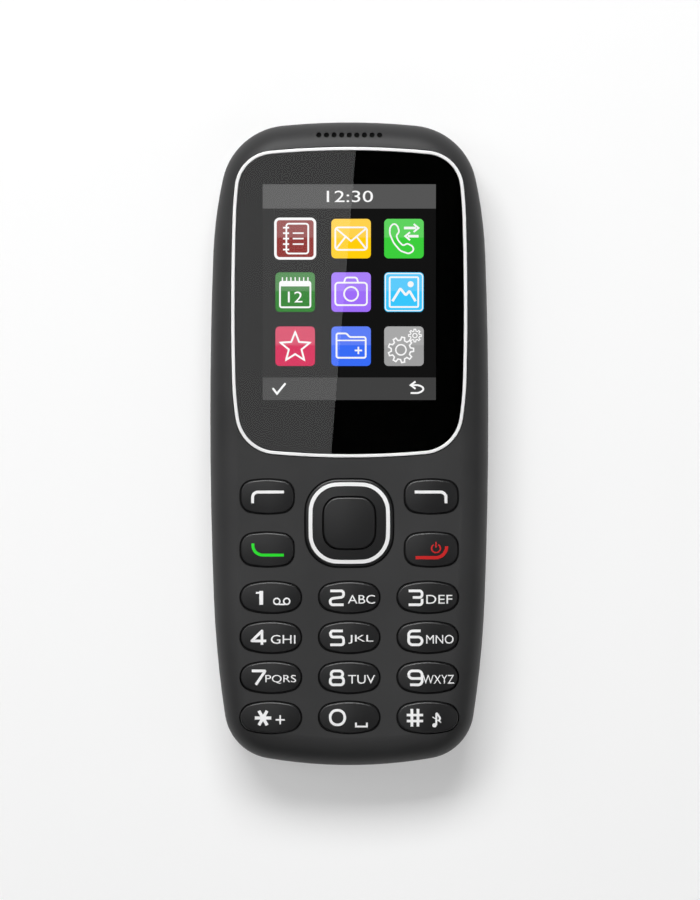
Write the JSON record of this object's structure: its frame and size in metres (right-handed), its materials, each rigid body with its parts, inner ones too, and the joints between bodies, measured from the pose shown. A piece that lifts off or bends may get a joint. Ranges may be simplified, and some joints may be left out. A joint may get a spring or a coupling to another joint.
{
  "type": "feature phone",
  "caption": "Bar-shaped feature phone with a small colour display, a square four-way key and a moulded number keypad.",
  "frame": {"origin": "centre of the flat back, where the phone lies on it", "axes": "+Z out of the display, +Y to the phone's top end, +X to the right seen from the display"},
  "size_m": [0.0458, 0.106, 0.0141],
  "materials": {
    "black_shell": "fine satin moulding",
    "black_cover": "fine satin moulding",
    "black_keys": "satin hard keycap",
    "lens": "clear gloss window",
    "white_trim": "gloss",
    "adhesive": "matte tape",
    "display": "lit panel",
    "white_plastic": "light guide and frame",
    "flex": "amber film",
    "board": "solder mask",
    "steel": "bright sheet",
    "dark_metal": "dark paint",
    "silicone": "soft matte",
    "film": "clear film",
    "foam": "foam",
    "battery_label": "bare wrap",
    "gold": "plated contacts",
    "socket_plastic": "moulded socket"
  },
  "bodies": {
    "phone": {"front_housing": "black_shell", "rear_housing": "black_shell", "display_lens": "lens", "lens_trim": "white_trim", "lens_adhesive": "adhesive", "lcd_panel": "display", "lcd_backlight": "white_plastic", "display_flex": "flex", "main_board": "board", "shield_can": "steel", "keypad_mat": "silicone", "dome_sheet": "film", "key_domes": "steel", "earpiece": "dark_metal", "earpiece_mesh": "dark_metal", "loudspeaker": "dark_metal", "speaker_gasket": "foam", "microphone": "steel", "vibration_motor": "steel", "battery": "battery_label", "battery_contacts": "gold", "sim_holder": "steel", "memory_card_slot": "steel", "usb_port": "steel", "headset_jack": "socket_plastic", "camera_module": "socket_plastic", "antenna": "flex", "housing_screws": "steel"},
    "key_1_cap": {"key_1": "black_keys"},
    "key_2_cap": {"key_2": "black_keys"},
    "key_3_cap": {"key_3": "black_keys"},
    "key_4_cap": {"key_4": "black_keys"},
    "key_5_cap": {"key_5": "black_keys"},
    "key_6_cap": {"key_6": "black_keys"},
    "key_7_cap": {"key_7": "black_keys"},
    "key_8_cap": {"key_8": "black_keys"},
    "key_9_cap": {"key_9": "black_keys"},
    "key_star_cap": {"key_star": "black_keys"},
    "key_0_cap": {"key_0": "black_keys"},
    "key_hash_cap": {"key_hash": "black_keys"},
    "soft_key_left_cap": {"soft_key_left": "black_keys"},
    "soft_key_right_cap": {"soft_key_right": "black_keys"},
    "call_key_cap": {"call_key": "black_keys"},
    "end_key_cap": {"end_key": "black_keys"},
    "ok_key_cap": {"ok_key": "black_keys"},
    "rocker": {"nav_rocker": "silicone"},
    "four_way_ring": {"nav_ring": "black_keys", "nav_trim": "white_trim"},
    "back_lid": {"battery_cover": "black_cover", "camera_window": "lens"}
  },
  "joints": [
    {"name": "key_1_press", "type": "slide", "parent": "phone", "child": "key_1_cap", "axis": [0, 0, -1], "range_m": [0, 0.0003], "stiffness_N_per_m": 3000},
    {"name": "key_2_press", "type": "slide", "parent": "phone", "child": "key_2_cap", "axis": [0, 0, -1], "range_m": [0, 0.0003], "stiffness_N_per_m": 3000},
    {"name": "key_3_press", "type": "slide", "parent": "phone", "child": "key_3_cap", "axis": [0, 0, -1], "range_m": [0, 0.0003], "stiffness_N_per_m": 3000},
    {"name": "key_4_press", "type": "slide", "parent": "phone", "child": "key_4_cap", "axis": [0, 0, -1], "range_m": [0, 0.0003], "stiffness_N_per_m": 3000},
    {"name": "key_5_press", "type": "slide", "parent": "phone", "child": "key_5_cap", "axis": [0, 0, -1], "range_m": [0, 0.0003], "stiffness_N_per_m": 3000},
    {"name": "key_6_press", "type": "slide", "parent": "phone", "child": "key_6_cap", "axis": [0, 0, -1], "range_m": [0, 0.0003], "stiffness_N_per_m": 3000},
    {"name": "key_7_press", "type": "slide", "parent": "phone", "child": "key_7_cap", "axis": [0, 0, -1], "range_m": [0, 0.0003], "stiffness_N_per_m": 3000},
    {"name": "key_8_press", "type": "slide", "parent": "phone", "child": "key_8_cap", "axis": [0, 0, -1], "range_m": [0, 0.0003], "stiffness_N_per_m": 3000},
    {"name": "key_9_press", "type": "slide", "parent": "phone", "child": "key_9_cap", "axis": [0, 0, -1], "range_m": [0, 0.0003], "stiffness_N_per_m": 3000},
    {"name": "key_star_press", "type": "slide", "parent": "phone", "child": "key_star_cap", "axis": [0, 0, -1], "range_m": [0, 0.0003], "stiffness_N_per_m": 3000},
    {"name": "key_0_press", "type": "slide", "parent": "phone", "child": "key_0_cap", "axis": [0, 0, -1], "range_m": [0, 0.0003], "stiffness_N_per_m": 3000},
    {"name": "key_hash_press", "type": "slide", "parent": "phone", "child": "key_hash_cap", "axis": [0, 0, -1], "range_m": [0, 0.0003], "stiffness_N_per_m": 3000},
    {"name": "soft_key_left_press", "type": "slide", "parent": "phone", "child": "soft_key_left_cap", "axis": [0, 0, -1], "range_m": [0, 0.0003], "stiffness_N_per_m": 3000},
    {"name": "soft_key_right_press", "type": "slide", "parent": "phone", "child": "soft_key_right_cap", "axis": [0, 0, -1], "range_m": [0, 0.0003], "stiffness_N_per_m": 3000},
    {"name": "call_key_press", "type": "slide", "parent": "phone", "child": "call_key_cap", "axis": [0, 0, -1], "range_m": [0, 0.0003], "stiffness_N_per_m": 3000},
    {"name": "end_key_press", "type": "slide", "parent": "phone", "child": "end_key_cap", "axis": [0, 0, -1], "range_m": [0, 0.0003], "stiffness_N_per_m": 3000},
    {"name": "ok_key_press", "type": "slide", "parent": "phone", "child": "ok_key_cap", "axis": [0, 0, -1], "range_m": [0, 0.0003], "stiffness_N_per_m": 3000},
    {"name": "nav_up_down", "type": "hinge", "parent": "phone", "child": "rocker", "pos_m": [0, -0.0131, 0.0115], "axis": [1, 0, 0], "range_deg": [-2, 2], "stiffness_Nm_per_rad": 0.2},
    {"name": "nav_left_right", "type": "hinge", "parent": "rocker", "child": "four_way_ring", "pos_m": [0, -0.0131, 0.0115], "axis": [0, 1, 0], "range_deg": [-2, 2], "stiffness_Nm_per_rad": 0.2},
    {"name": "lid_off", "type": "slide", "parent": "phone", "child": "back_lid", "axis": [0, 0, -1], "range_m": [0, 0.015]}
  ]
}
